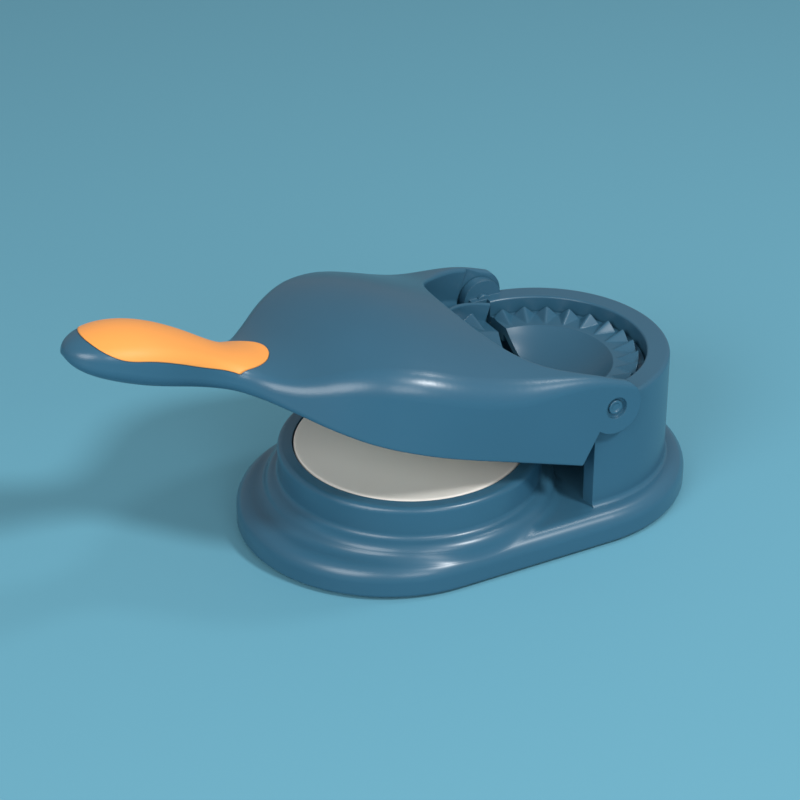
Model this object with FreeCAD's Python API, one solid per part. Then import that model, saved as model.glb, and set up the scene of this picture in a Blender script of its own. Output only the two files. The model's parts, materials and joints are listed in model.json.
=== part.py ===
import FreeCAD, Part
import math
import os

# A two-in-one hand press for ravioli. Millimetres, +Z up.
# The origin is on the table under the middle of the oval foot, and the handle points to -X.
# The lever is modelled closed, with its pivot at the origin, and is then swung to its open rest.

# Dough plate, press disc and the dough between them
PLATE_RADIUS = 43.0
PLATE_THICKNESS = 4.0
PLATE_TOP = 31.1
PLATE_GAP = 0.5
PLATE_PROUD = 0.2
PLATE_ROUND = 1.0
PLATE_SCREW_CIRCLE = 30.0
DISC_THICKNESS = 3.0
DISC_ROUND = 0.8
DOUGH_GAP = 1.7
PEG_RADIUS = 2.0
PEG_LENGTH = 8.0
PEG_GAP = 0.05
PEG_CIRCLE = 31.0
PEG_BOSS_WALL = 1.8

# Ring around the plate, and the step below it
RING_WIDTH = 5.5
RING_ROUND = 2.0
RING_FLOOR = 2.4
STEP_REACH = 5.2
STEP_ROUND = 4.6
STEP_RISE = 0.8
STEP_COVE = 2.4

# Oval foot
FOOT_MARGIN = 2.3
FOOT_TOWER_MARGIN = 8.5
FOOT_TOP = 13.0
FOOT_UPPER_ROUND = 5.6
FOOT_LOWER_ROUND = 1.6
FOOT_FRONT_SHIFT = 9.1
FOOT_REAR_SHIFT = 1.0
BASE_WALL = 2.4

# Rubber feet in their bosses
RUBBER_RADIUS = 6.0
RUBBER_PROUD = 1.0
RUBBER_SEAT = 1.5
RUBBER_GAP = 0.1
RUBBER_ROUND = 0.4
RUBBER_BOSS_WALL = 2.0
RUBBER_CIRCLE = 45.0
RUBBER_ANGLE = 45

# Half moulds with their crimping teeth
MOULD_RADIUS = 38.8
MOULD_GAP = 0.5
MOULD_WALL = 2.0
SPLIT_GAP = 0.75
CAVITY_RADIUS = 27.0
CUP_RADIUS = 28.0
CUP_GAP = 1.2
RIM_THICKNESS = 3.4
LIP_WIDTH = 1.8
TOOTH_COUNT = 13
TOOTH_HEIGHT = 3.6
TOOTH_ROOT = 0.5
TOOTH_SINK = 0.4
TOOTH_INNER_RADIUS = 27.4
TOOTH_BELOW_LIP = 3.7
TOOTH_LIP_GAP = 0.6
BASE_TOOTH_DROP = 1.2
LEDGE_THICKNESS = 3.0
LEDGE_CUP_GAP = 1.0
MOULD_SCREW_ANGLE = 50

# Half-round tower
TOWER_BAND = 8.7
TOWER_WALL = 6.5
TOWER_TOP = 56.3
TOWER_FRONT = 6.0
TOWER_ROUND = 1.6
TOWER_COVE = 2.5
TOWER_COVE_SINK = 0.4
RECESS_ROUND = 0.8
CORE_SKIN = 2.1
CORE_BELOW_LEDGE = 1.0

# Hinge
PIVOT_BELOW_TOP = 1.3
PLATE_SETBACK = 12.9
LUG_RADIUS = 8.2
LUG_WIDTH = 4.0
PIN_RADIUS = 2.75
PIN_RUNNING_GAP = 0.05
PIN_GRIP = 5.5
PIN_SUNK = 0.5
PIN_CHAMFER = 0.4
EAR_THICKNESS = 3.5
EAR_RADIUS = 10.4
EAR_PAD_LENGTH = 16.0
EAR_SINK_RADIUS = 4.2
EAR_SINK_DEPTH = 1.3
HINGE_SIDE_GAP = 0.5
OPEN_ANGLE = 18.5

# Lever shell
LEVER_WALL = 2.4
LEVER_CROWN = 14.4
LID_GAP = 0.4
DISC_SIDE_GAP = 3.0
DOME_NOSE = 24.1
HANDLE_LENGTH = 69.2
HANDLE_HALF_WIDTH = 14.6
CUTOUT_DEPTH = 4.0
CUTOUT_ROUND = 2.0
SEAT_SETBACK = 9.0
REAR_EDGE_LOW = 6.3
REAR_EDGE_HIGH = 3.8
CREST_ROUND = 1.5

# Orange grip let into the handle
GRIP_DEPTH = 1.6
GRIP_PROUD = 0.3
GRIP_GAP = 0.15

# Cover under the handle
COVER_DEPTH = 2.8
COVER_GAP = 0.15
COVER_LEDGE = 1.6
COVER_FRONT_RADIUS = 6.6
COVER_REAR_RADIUS = 8.6
COVER_SCREW_WALL = 1.8
COVER_SINK = 1.4
HANDLE_CAVITY = 4.4

# Screws
SCREW_RADIUS = 1.25
SCREW_FIT = 0.02
SCREW_BITE = 2.6
SCREW_HEAD_RADIUS = 2.4
SCREW_HEAD_HEIGHT = 1.6
SCREW_HOLE_GAP = 0.25

# One overrun serves all cuts
OVERRUN = 2.0

# Sections of the lever, as shares. A dome station lies at a share of the dome's reach from the pivot,
# and a handle station at a share of the handle's length from the end of the dome.
# Each row: place, half width, top and bottom above the skirt's edge over the lever's whole depth,
# then the radii of the crown, of the shoulder and of the lower edge over the half width.
DOME_SHARES = (
    (-0.114, 1.000, 0.974, 0.000, 8.00, 0.050, 0.015),
    (0.000, 1.000, 0.979, 0.000, 8.00, 0.050, 0.015),
    (0.106, 1.000, 0.984, 0.000, 7.00, 0.070, 0.015),
    (0.211, 1.000, 0.974, 0.000, 4.60, 0.115, 0.015),
    (0.325, 1.000, 0.976, 0.000, 2.90, 0.165, 0.015),
    (0.452, 1.000, 0.997, 0.000, 2.35, 0.192, 0.015),
    (0.545, 0.987, 1.000, 0.000, 2.30, 0.195, 0.016),
    (0.626, 0.948, 0.974, 0.000, 2.40, 0.203, 0.016),
    (0.699, 0.890, 0.911, 0.000, 2.60, 0.205, 0.017),
    (0.756, 0.825, 0.827, 0.005, 3.00, 0.205, 0.021),
    (0.805, 0.750, 0.727, 0.016, 3.40, 0.200, 0.026),
    (0.854, 0.658, 0.601, 0.029, 3.80, 0.193, 0.035),
    (0.902, 0.550, 0.475, 0.045, 3.60, 0.196, 0.056),
    (0.943, 0.454, 0.402, 0.055, 3.00, 0.212, 0.085),
    (0.976, 0.373, 0.370, 0.060, 2.50, 0.247, 0.124),
)
HANDLE_SHARES = (
    (0.022, 1.055, 0.360, 0.060, 2.10, 0.305, 0.188),
    (0.101, 0.836, 0.362, 0.058, 1.80, 0.393, 0.279),
    (0.188, 0.753, 0.386, 0.055, 1.70, 0.445, 0.345),
    (0.303, 0.781, 0.438, 0.055, 1.70, 0.447, 0.386),
    (0.448, 0.904, 0.493, 0.060, 1.70, 0.417, 0.364),
    (0.607, 1.000, 0.517, 0.068, 1.70, 0.397, 0.342),
    (0.766, 0.952, 0.486, 0.081, 1.70, 0.388, 0.345),
    (0.882, 0.767, 0.417, 0.100, 1.70, 0.380, 0.339),
    (0.961, 0.479, 0.333, 0.134, 1.70, 0.410, 0.371),
    (1.000, 0.110, 0.244, 0.192, 1.70, 0.437, 0.437),
)
# The hollow under the dome ends with this many of the dome's stations
HOLLOW_STATIONS = 13
# The grip and its bed start at this station of the dome
GRIP_FIRST_STATION = 8
# The grip's tongue on the dome: places along the handle, and half widths over the handle's half width
TONGUE_SHARES = (
    (-0.095, 0.000), (-0.055, 0.500), (0.030, 0.715), (0.110, 0.790), (0.200, 0.960), (0.400, 1.250), (1.000, 1.250),
)
# Lower edge of the grip on the handle's sides: places, and heights over the lever's whole depth
GRIP_EDGE_SHARES = (
    (-0.100, 0.150), (0.050, 0.225), (0.190, 0.268), (0.300, 0.285), (0.430, 0.318),
    (0.540, 0.340), (0.650, 0.342), (0.770, 0.325), (0.850, 0.345), (0.940, 0.385), (1.000, 0.410),
)
# Round ends of the handle cover along the handle, and its screws between them
COVER_END_SHARES = (0.130, 0.740)
COVER_SCREW_SHARES = (0.240, 0.640)
# Where the pegs of the press disc stand around its middle, in degrees from the handle
PEG_ANGLES = (0, 105, 255)
PLATE_SCREW_ANGLES = (60, 180, 300)

# Sizes that follow from the ones above
RING_TOP = PLATE_TOP - PLATE_PROUD
RING_BORE = PLATE_RADIUS + PLATE_GAP
RING_RADIUS = RING_BORE + RING_WIDTH
STEP_RADIUS = RING_RADIUS + STEP_REACH
STEP_ROUND_HIGH = FOOT_TOP + STEP_RISE
PLATE_BOTTOM = PLATE_TOP - PLATE_THICKNESS
PLATE_TO_PIVOT = PLATE_RADIUS + PLATE_SETBACK
RECESS_RADIUS = MOULD_RADIUS + MOULD_GAP
TOWER_RADIUS = RECESS_RADIUS + TOWER_BAND
TOWER_BORE = TOWER_RADIUS - TOWER_WALL
FOOT_RADIUS = max(STEP_RADIUS + FOOT_MARGIN, TOWER_RADIUS + FOOT_TOWER_MARGIN)
FOOT_BOTTOM = RUBBER_PROUD
FOOT_HALF_SPACING = (PLATE_TO_PIVOT + FOOT_FRONT_SHIFT - FOOT_REAR_SHIFT) / 2
PIVOT_X = FOOT_HALF_SPACING + FOOT_REAR_SHIFT
PIVOT_Z = TOWER_TOP - PIVOT_BELOW_TOP
PLATE_X = PIVOT_X - PLATE_TO_PIVOT
EAR_INNER = TOWER_RADIUS + HINGE_SIDE_GAP
LEVER_HALF_WIDTH = max(EAR_INNER + EAR_THICKNESS, PLATE_RADIUS + DISC_SIDE_GAP + LEVER_WALL)
SKIRT_DROP = PIVOT_Z - RING_TOP - LID_GAP
LEVER_DEPTH = LEVER_CROWN + SKIRT_DROP
DOME_REACH = PLATE_TO_PIVOT + PLATE_RADIUS + DOME_NOSE
LEVER_REACH = DOME_REACH + HANDLE_LENGTH
CUTOUT_RADIUS = EAR_INNER
DISC_LOW = PLATE_TOP + DOUGH_GAP - PIVOT_Z
DISC_HIGH = DISC_LOW + DISC_THICKNESS
CUP_LOW = DISC_HIGH + CUP_GAP
CAVITY_LOW = CUP_LOW + MOULD_WALL
LEDGE_RADIUS = CUP_RADIUS + LEDGE_CUP_GAP
MOULD_SCREW_CIRCLE = (LEDGE_RADIUS + RECESS_RADIUS) / 2
LIP_TOP = PIVOT_BELOW_TOP
LIP_BORE = MOULD_RADIUS - LIP_WIDTH
BASE_TIP = -BASE_TOOTH_DROP
LEVER_TIP = LIP_TOP - TOOTH_BELOW_LIP
BASE_RIM_LOW = BASE_TIP - TOOTH_HEIGHT - RIM_THICKNESS
LEVER_RIM_LOW = LEVER_TIP - TOOTH_HEIGHT - RIM_THICKNESS
BASE_LEDGE_TOP = PIVOT_Z + BASE_RIM_LOW
BASE_LEDGE_LOW = BASE_LEDGE_TOP - LEDGE_THICKNESS
COVER_TOP = -SKIRT_DROP + COVER_DEPTH + HANDLE_SHARES[0][3] * LEVER_DEPTH
BORE_RADIUS = SCREW_RADIUS + SCREW_FIT
HOLE_RADIUS = SCREW_RADIUS + SCREW_HOLE_GAP

V = FreeCAD.Vector
X, Y, Z = V(1, 0, 0), V(0, 1, 0), V(0, 0, 1)
ORIGIN = V(0, 0, 0)
PIVOT = V(PIVOT_X, 0, PIVOT_Z)
FULL_TURN, HALF_TURN, QUARTER_TURN = 360, 180, 90
TOLERANCE_SHARE = 1e-6


def polar(radius, degrees):
    """Point on a circle about the origin, as two numbers."""
    angle = math.radians(degrees)
    return radius * math.cos(angle), radius * math.sin(angle)


def bend(centre, radius, first, last):
    """Arc of an outline: a line to its first point, then through its middle to its last point."""
    points = []
    for degrees in (first, (first + last) / 2, last):
        across, up = polar(radius, degrees)
        points.append((centre[0] + across, centre[1] + up))
    return [points[0], (points[1], points[2])]


def outline(steps, to_space):
    """Closed face through points, where a pair of points is an arc through the first to the second."""
    edges = []
    start = here = to_space(steps[0])
    size = max(abs(here.x), abs(here.y), abs(here.z), FOOT_TOP)
    for step in steps[1:] + [steps[0]]:
        if isinstance(step[0], tuple):
            there = to_space(step[1])
            edges.append(Part.Arc(here, to_space(step[0]), there).toShape())
        else:
            there = to_space(step)
            if there.distanceToPoint(here) < size * TOLERANCE_SHARE:
                continue
            edges.append(Part.LineSegment(here, there).toShape())
        here = there
    return Part.Face(Part.Wire(edges))


def turned(steps, axis_x=0, angle=FULL_TURN):
    """Solid of revolution about a vertical axis. A half turn covers the +X side."""
    face = outline(steps, lambda p: V(axis_x + p[0], 0, p[1]))
    axis = V(axis_x, 0, 0)
    if angle == HALF_TURN:
        face.rotate(axis, Z, -QUARTER_TURN)
    return face.revolve(axis, Z, angle)


def upright(radius, low, high, x=0, y=0):
    """Vertical cylinder between two heights."""
    return Part.makeCylinder(radius, high - low, V(x, y, low), Z)


def block(x0, x1, y0, y1, z0, z1):
    """Box between two corners."""
    return Part.makeBox(x1 - x0, y1 - y0, z1 - z0, V(x0, y0, z0))


def oval(x0, r0, x1, r1, low, high):
    """Upright prism around two circles on the X axis and their tangents."""
    slope = (r0 - r1) / (x1 - x0)
    side = math.sqrt(1 - slope * slope)
    steps = [
        (x0 + r0 * slope, r0 * side), (x1 + r1 * slope, r1 * side),
        ((x1 + r1, 0), (x1 + r1 * slope, -r1 * side)), (x0 + r0 * slope, -r0 * side),
        ((x0 - r0, 0), (x0 + r0 * slope, r0 * side)),
    ]
    return outline(steps, lambda p: V(p[0], p[1], low)).extrude(Z * (high - low))


def level_edges(shape, height):
    """Edges that lie flat at one height."""
    near = abs(height) * TOLERANCE_SHARE + FOOT_TOP * TOLERANCE_SHARE
    return [edge for edge in shape.Edges
            if all(abs(vertex.Z - height) < near for vertex in edge.Vertexes)
            and abs(edge.CenterOfMass.z - height) < near]


def is_near(value, target):
    """Whether two lengths agree, apart from rounding."""
    return abs(value - target) < FOOT_TOP * TOLERANCE_SHARE


def union(first, *others):
    """Fuses solids into one and cleans their seams."""
    return first.fuse(list(others)).removeSplitter()


def swung(shape):
    """Moves a piece of the lever from the closed frame about the pivot to its place at rest."""
    shape.translate(PIVOT)
    shape.rotate(PIVOT, Y, OPEN_ANGLE)
    return shape


def screw(x, y, seat, grip):
    """Pan-head screw from below: its head's flat sits at a height and its shank goes up through the grip."""
    dome = SCREW_HEAD_HEIGHT / 2
    steps = [
        (0, seat - SCREW_HEAD_HEIGHT), (SCREW_HEAD_RADIUS - dome, seat - SCREW_HEAD_HEIGHT),
        *bend((SCREW_HEAD_RADIUS - dome, seat - dome), dome, -QUARTER_TURN, 0),
        (SCREW_HEAD_RADIUS, seat), (SCREW_RADIUS, seat),
        (SCREW_RADIUS, seat + grip + SCREW_BITE - SCREW_RADIUS), (0, seat + grip + SCREW_BITE),
    ]
    shape = turned(steps)
    shape.translate(V(x, y, 0))
    return shape


def plate_screw_places():
    return [polar(PLATE_SCREW_CIRCLE, degrees) for degrees in PLATE_SCREW_ANGLES]


def mould_screw_places():
    return [polar(MOULD_SCREW_CIRCLE, degrees) for degrees in (-MOULD_SCREW_ANGLE, 0, MOULD_SCREW_ANGLE)]


def rubber_places():
    """Centres of the rubber feet: two near each round end of the oval foot, and one in the middle."""
    along, across = polar(RUBBER_CIRCLE, RUBBER_ANGLE)
    reach = FOOT_HALF_SPACING + along
    return {"front_left": (-reach, -across), "rear_left": (-reach, across),
            "front_right": (reach, -across), "rear_right": (reach, across), "middle": (0, 0)}


# Base

def foot_solid(inset, low):
    """Oval foot with its bulging edge, or the hollow inside it."""
    radius = FOOT_RADIUS - inset
    top = FOOT_TOP - inset
    shape = oval(-FOOT_HALF_SPACING, radius, FOOT_HALF_SPACING, radius, low, top)
    return shape.makeFillet(FOOT_UPPER_ROUND - inset, level_edges(shape, top))


def pedestal_solid():
    """Ring and swelling step under the dough plate. The step's round runs into the cove above it."""
    low = FOOT_TOP - FOOT_UPPER_ROUND
    round_centre = (STEP_RADIUS - STEP_ROUND, STEP_ROUND_HIGH)
    across = RING_RADIUS + STEP_COVE - round_centre[0]
    up = math.sqrt((STEP_ROUND + STEP_COVE) ** 2 - across ** 2)
    lean = math.degrees(math.atan2(up, across))
    cove_centre = (RING_RADIUS + STEP_COVE, STEP_ROUND_HIGH + up)
    return turned([
        (0, low), (STEP_RADIUS, low),
        *bend(round_centre, STEP_ROUND, 0, lean),
        *bend(cove_centre, STEP_COVE, lean - HALF_TURN, -HALF_TURN),
        *bend((RING_RADIUS - RING_ROUND, RING_TOP - RING_ROUND), RING_ROUND, 0, QUARTER_TURN),
        (0, RING_TOP),
    ], PLATE_X)


def tower_solid():
    """Half-round tower with a cove at its foot, carried on straight in front of the pivot."""
    low = FOOT_TOP - FOOT_UPPER_ROUND
    cove_low = FOOT_TOP - TOWER_COVE_SINK
    steps = [
        (0, low), (TOWER_RADIUS + TOWER_COVE, low),
        *bend((TOWER_RADIUS + TOWER_COVE, cove_low + TOWER_COVE), TOWER_COVE, -QUARTER_TURN, -HALF_TURN),
        *bend((TOWER_RADIUS - TOWER_ROUND, TOWER_TOP - TOWER_ROUND), TOWER_ROUND, 0, QUARTER_TURN),
        (0, TOWER_TOP),
    ]
    back = turned(steps, PIVOT_X, HALF_TURN)
    side = outline(steps, lambda p: V(PIVOT_X - TOWER_FRONT, p[0], p[1])).extrude(X * TOWER_FRONT)
    shape = union(back, side, side.mirror(ORIGIN, Y))
    front = PIVOT_X - TOWER_FRONT - OVERRUN
    return shape.cut([
        upright(TOWER_BORE, FOOT_TOP, BASE_LEDGE_LOW, PIVOT_X),
        block(front, PIVOT_X, -TOWER_BORE, TOWER_BORE, FOOT_TOP, BASE_LEDGE_LOW),
    ])


def base_shell():
    """Moulded base: oval foot, plate ring and hinge tower in one shell, open underneath."""
    foot = foot_solid(0, FOOT_BOTTOM)
    foot = foot.makeFillet(FOOT_LOWER_ROUND, level_edges(foot, FOOT_BOTTOM))
    shape = union(foot, pedestal_solid(), tower_solid())
    under = FOOT_BOTTOM - OVERRUN
    over = TOWER_TOP + LUG_RADIUS + OVERRUN
    split = PIVOT_X + SPLIT_GAP
    hollow = foot_solid(BASE_WALL, under)
    boss_radius = RUBBER_RADIUS + RUBBER_GAP + RUBBER_BOSS_WALL
    rubber_bosses = [upright(boss_radius, under, FOOT_TOP, x, y) for x, y in rubber_places().values()]
    middle_post = upright(boss_radius, under, PLATE_BOTTOM)
    kept_under_step = [middle_post, tower_solid(), *rubber_bosses]
    hollow = hollow.cut(rubber_bosses)
    core_top = BASE_LEDGE_LOW - CORE_BELOW_LEDGE
    core = turned([
        (TOWER_BORE + CORE_SKIN, under), (TOWER_RADIUS - CORE_SKIN, under),
        (TOWER_RADIUS - CORE_SKIN, core_top), (TOWER_BORE + CORE_SKIN, core_top),
    ], PIVOT_X, HALF_TURN)
    shape = shape.cut([
        hollow,
        upright(RING_RADIUS - BASE_WALL, under, PLATE_BOTTOM - RING_FLOOR, PLATE_X).cut(middle_post),
        upright(STEP_RADIUS - BASE_WALL, under, STEP_ROUND_HIGH, PLATE_X).cut(kept_under_step),
        upright(RING_BORE, PLATE_BOTTOM, RING_TOP + OVERRUN, PLATE_X),
        core.cut(rubber_bosses),
    ])
    shape = shape.cut([
        upright(RECESS_RADIUS, BASE_LEDGE_TOP, over, PIVOT_X),
        upright(LEDGE_RADIUS, BASE_LEDGE_LOW - OVERRUN, over, PIVOT_X),
        block(PIVOT_X - TOWER_FRONT - OVERRUN, split, -TOWER_BORE, TOWER_BORE, BASE_LEDGE_LOW - OVERRUN, over),
    ])
    mouth = [edge for edge in level_edges(shape, TOWER_TOP)
             if edge.Curve.TypeId == "Part::GeomCircle" and is_near(edge.Curve.Radius, RECESS_RADIUS)]
    shape = shape.makeFillet(RECESS_ROUND, mouth)
    for side in (-1, 1):
        lug_start = V(PIVOT_X, side * (TOWER_RADIUS - LUG_WIDTH), PIVOT_Z)
        shape = union(shape, Part.makeCylinder(LUG_RADIUS, LUG_WIDTH, lug_start, Y * side))
    holes = [upright(HOLE_RADIUS, PLATE_BOTTOM - RING_FLOOR - OVERRUN, PLATE_BOTTOM + OVERRUN, PLATE_X + x, y)
             for x, y in plate_screw_places()]
    holes += [upright(HOLE_RADIUS, BASE_LEDGE_LOW - OVERRUN, BASE_LEDGE_TOP + OVERRUN, PIVOT_X + x, y)
              for x, y in mould_screw_places()]
    holes += [upright(RUBBER_RADIUS + RUBBER_GAP, under, FOOT_BOTTOM + RUBBER_SEAT, x, y)
              for x, y in rubber_places().values()]
    holes += [Part.makeCylinder(PIN_RADIUS, PIN_GRIP + OVERRUN,
                                V(PIVOT_X, side * (TOWER_RADIUS - PIN_GRIP), PIVOT_Z), Y * side)
              for side in (-1, 1)]
    return shape.cut(holes)


def dough_plate():
    """White plate with a rounded rim, screwed down from below."""
    shape = turned([
        (0, PLATE_BOTTOM), (PLATE_RADIUS, PLATE_BOTTOM),
        *bend((PLATE_RADIUS - PLATE_ROUND, PLATE_TOP - PLATE_ROUND), PLATE_ROUND, 0, QUARTER_TURN),
        (0, PLATE_TOP),
    ], PLATE_X)
    return shape.cut([upright(BORE_RADIUS, PLATE_BOTTOM - OVERRUN, PLATE_BOTTOM + SCREW_BITE, PLATE_X + x, y)
                      for x, y in plate_screw_places()])


def dough_plate_screws():
    seat = PLATE_BOTTOM - RING_FLOOR
    return Part.makeCompound([screw(PLATE_X + x, y, seat, RING_FLOOR) for x, y in plate_screw_places()])


def rubber_foot(x, y):
    """Rubber foot with a rounded lower edge, pushed into its boss."""
    shape = turned([
        (0, 0), *bend((RUBBER_RADIUS - RUBBER_ROUND, RUBBER_ROUND), RUBBER_ROUND, -QUARTER_TURN, 0),
        (RUBBER_RADIUS, FOOT_BOTTOM + RUBBER_SEAT), (0, FOOT_BOTTOM + RUBBER_SEAT),
    ])
    shape.translate(V(x, y, 0))
    return shape


def hinge_pin(side):
    """Hinge pin, pressed into a lug of the tower and running in an ear of the lever."""
    length = PIN_GRIP + HINGE_SIDE_GAP + LEVER_HALF_WIDTH - EAR_INNER - PIN_SUNK
    pin = Part.makeCylinder(PIN_RADIUS, length - PIN_CHAMFER, ORIGIN, Z)
    tip = Part.makeCone(PIN_RADIUS, PIN_RADIUS - PIN_CHAMFER, PIN_CHAMFER, V(0, 0, length - PIN_CHAMFER), Z)
    pin = union(pin, tip)
    pin.rotate(ORIGIN, X, -side * QUARTER_TURN)
    pin.translate(V(PIVOT_X, side * (TOWER_RADIUS - PIN_GRIP), PIVOT_Z))
    return pin


# Half moulds, made about the pivot with the cup on the +X side

def tooth(degrees, outer_radius, tip):
    """Crimping tooth: a pyramid whose ridge runs down from the rim's outer edge to the cup."""
    valley = tip - TOOTH_HEIGHT
    low = valley - TOOTH_SINK
    half_pitch = math.radians(HALF_TURN / TOOTH_COUNT / 2)
    half = outer_radius * math.tan(half_pitch) - TOOTH_ROOT / 2
    half *= (TOOTH_HEIGHT + TOOTH_SINK) / TOOTH_HEIGHT
    left, right = V(outer_radius, -half, low), V(outer_radius, half, low)
    peak, toe = V(outer_radius, 0, tip), V(TOOTH_INNER_RADIUS, 0, low)
    corners = ((left, right, peak), (left, peak, toe), (peak, right, toe), (right, left, toe))
    faces = [Part.Face(Part.makePolygon([*points, points[0]])) for points in corners]
    shape = Part.makeSolid(Part.makeShell(faces))
    if shape.Volume < 0:
        shape.reverse()
    shape.rotate(ORIGIN, Z, degrees)
    return shape


def half_mould(tip, has_lip):
    """Half of a folding mould: a shallow cup, a toothed rim and, on the lever, a raised lip."""
    valley = tip - TOOTH_HEIGHT
    low = valley - RIM_THICKNESS
    depth = valley - CAVITY_LOW
    cavity_arc = (CAVITY_RADIUS ** 2 + depth ** 2) / (2 * depth)
    cup_depth = low - CUP_LOW
    cup_arc = (CUP_RADIUS ** 2 + cup_depth ** 2) / (2 * cup_depth)

    def on_arc(radius, bottom, arc):
        return radius, bottom + arc - math.sqrt(arc ** 2 - radius ** 2)

    steps = [(0, CAVITY_LOW), (on_arc(CAVITY_RADIUS / 2, CAVITY_LOW, cavity_arc), (CAVITY_RADIUS, valley))]
    outer = LIP_BORE - TOOTH_LIP_GAP
    if has_lip:
        outer = LIP_BORE + TOOTH_SINK
        steps += [(LIP_BORE, valley)]
        steps += bend((MOULD_RADIUS - LIP_WIDTH / 2, LIP_TOP - LIP_WIDTH / 2), LIP_WIDTH / 2, HALF_TURN, 0)
    else:
        steps += [(MOULD_RADIUS, valley)]
    steps += [(MOULD_RADIUS, low), (CUP_RADIUS, low), (on_arc(CUP_RADIUS / 2, CUP_LOW, cup_arc), (0, CUP_LOW))]
    shape = turned(steps, 0, HALF_TURN)
    pitch = HALF_TURN / TOOTH_COUNT
    first = pitch if has_lip else pitch / 2
    count = TOOTH_COUNT - 1 if has_lip else TOOTH_COUNT
    teeth = [tooth(first + pitch * index - QUARTER_TURN, outer, tip) for index in range(count)]
    shape = union(shape, *teeth)
    shape = shape.cut(block(-MOULD_RADIUS, SPLIT_GAP, -MOULD_RADIUS, MOULD_RADIUS, CUP_LOW - OVERRUN, LIP_TOP + OVERRUN))
    return shape.cut([upright(BORE_RADIUS, low - OVERRUN, low + SCREW_BITE, x, y)
                      for x, y in mould_screw_places()])


def base_half_mould():
    shape = half_mould(BASE_TIP, False)
    shape.translate(PIVOT)
    return shape


def base_mould_screws():
    return Part.makeCompound([screw(PIVOT_X + x, y, BASE_LEDGE_LOW, LEDGE_THICKNESS)
                              for x, y in mould_screw_places()])


def lever_half_mould():
    shape = half_mould(LEVER_TIP, True)
    shape.rotate(ORIGIN, Z, HALF_TURN)
    return swung(shape)


def lever_mould_screws():
    seat = LEVER_RIM_LOW - LEDGE_THICKNESS
    return swung(Part.makeCompound([screw(-x, -y, seat, LEDGE_THICKNESS) for x, y in mould_screw_places()]))


# Lever, made closed about the pivot

def lever_stations():
    """Place, half width, top, bottom and the three radii of every section, from the ears to the tip."""
    rows = [(share * DOME_REACH, width * LEVER_HALF_WIDTH, *rest) for share, width, *rest in DOME_SHARES]
    rows += [(DOME_REACH + share * HANDLE_LENGTH, width * HANDLE_HALF_WIDTH, *rest)
             for share, width, *rest in HANDLE_SHARES]
    stations = []
    for place, width, top, bottom, crown, shoulder, lower in rows:
        stations.append((place, width, top * LEVER_DEPTH - SKIRT_DROP, bottom * LEVER_DEPTH - SKIRT_DROP,
                         crown * width, shoulder * width, lower * width))
    return stations


def arch(width, top, crown, shoulder):
    """Upper right of a section: the heights and points where its side, shoulder and crown meet."""
    crown_low = top - crown
    height = crown_low + math.sqrt((crown - shoulder) ** 2 - (width - shoulder) ** 2)
    angle = math.atan2(height - crown_low, width - shoulder)
    meet = (crown * math.cos(angle), crown_low + crown * math.sin(angle))
    middle = (width - shoulder + shoulder * math.cos(angle / 2), height + shoulder * math.sin(angle / 2))
    return (width, height), middle, meet


def mirrored(point):
    return -point[0], point[1]


def section(place, width, top, bottom, crown, shoulder, lower):
    """Closed wire of one section: floor, lower edges, sides, shoulders and crown."""
    side, middle, meet = arch(width, top, crown, shoulder)
    low = bend((width - lower, bottom + lower), lower, -QUARTER_TURN, 0)
    start, (low_middle, low_end) = low
    points = [
        (mirrored(start), None, start), (start, low_middle, low_end), (low_end, None, side),
        (side, middle, meet), (meet, (0, top), mirrored(meet)), (mirrored(meet), mirrored(middle), mirrored(side)),
        (mirrored(side), None, mirrored(low_end)), (mirrored(low_end), mirrored(low_middle), mirrored(start)),
    ]
    edges = []
    for first, through, last in points:
        ends = [V(-place, p[0], p[1]) for p in (first, last)]
        if through is None:
            edges.append(Part.LineSegment(*ends).toShape())
        else:
            edges.append(Part.Arc(ends[0], V(-place, *through), ends[1]).toShape())
    return Part.Wire(edges)


def lever_solid():
    """Whole outer form of dome and handle, lofted through its sections."""
    return Part.makeLoft([section(*station) for station in lever_stations()], True, False)


def lever_hollow():
    """Space under the dome, a wall thickness inside the outer form and open below."""
    wires = []
    for place, width, top, _, crown, shoulder, lower in lever_stations()[:HOLLOW_STATIONS]:
        inner_shoulder = max(shoulder - LEVER_WALL, LEVER_WALL / 2)
        wires.append(section(place, width - LEVER_WALL, top - LEVER_WALL, -SKIRT_DROP - OVERRUN,
                             crown - LEVER_WALL, inner_shoulder, min(lower, LEVER_WALL / 2)))
    return Part.makeLoft(wires, True, False)


def peg_places():
    return [(-PLATE_TO_PIVOT - x, y) for x, y in (polar(PEG_CIRCLE, degrees) for degrees in PEG_ANGLES)]


def rear_cutter():
    """What is trimmed off behind the lever's straight rear edges and round its ears."""
    far = LEVER_DEPTH
    knee = math.sqrt(EAR_RADIUS ** 2 - REAR_EDGE_HIGH ** 2)
    slope = (REAR_EDGE_LOW - REAR_EDGE_HIGH) / (SKIRT_DROP - knee)
    steps = [
        (-REAR_EDGE_LOW - slope * OVERRUN, -SKIRT_DROP - OVERRUN), (-REAR_EDGE_HIGH, -knee),
        ((EAR_RADIUS, 0), (0, EAR_RADIUS)), (0, far), (far, far), (far, -SKIRT_DROP - OVERRUN),
    ]
    face = outline(steps, lambda p: V(p[0], -LEVER_HALF_WIDTH - OVERRUN, p[1]))
    return face.extrude(Y * 2 * (LEVER_HALF_WIDTH + OVERRUN))


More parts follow.
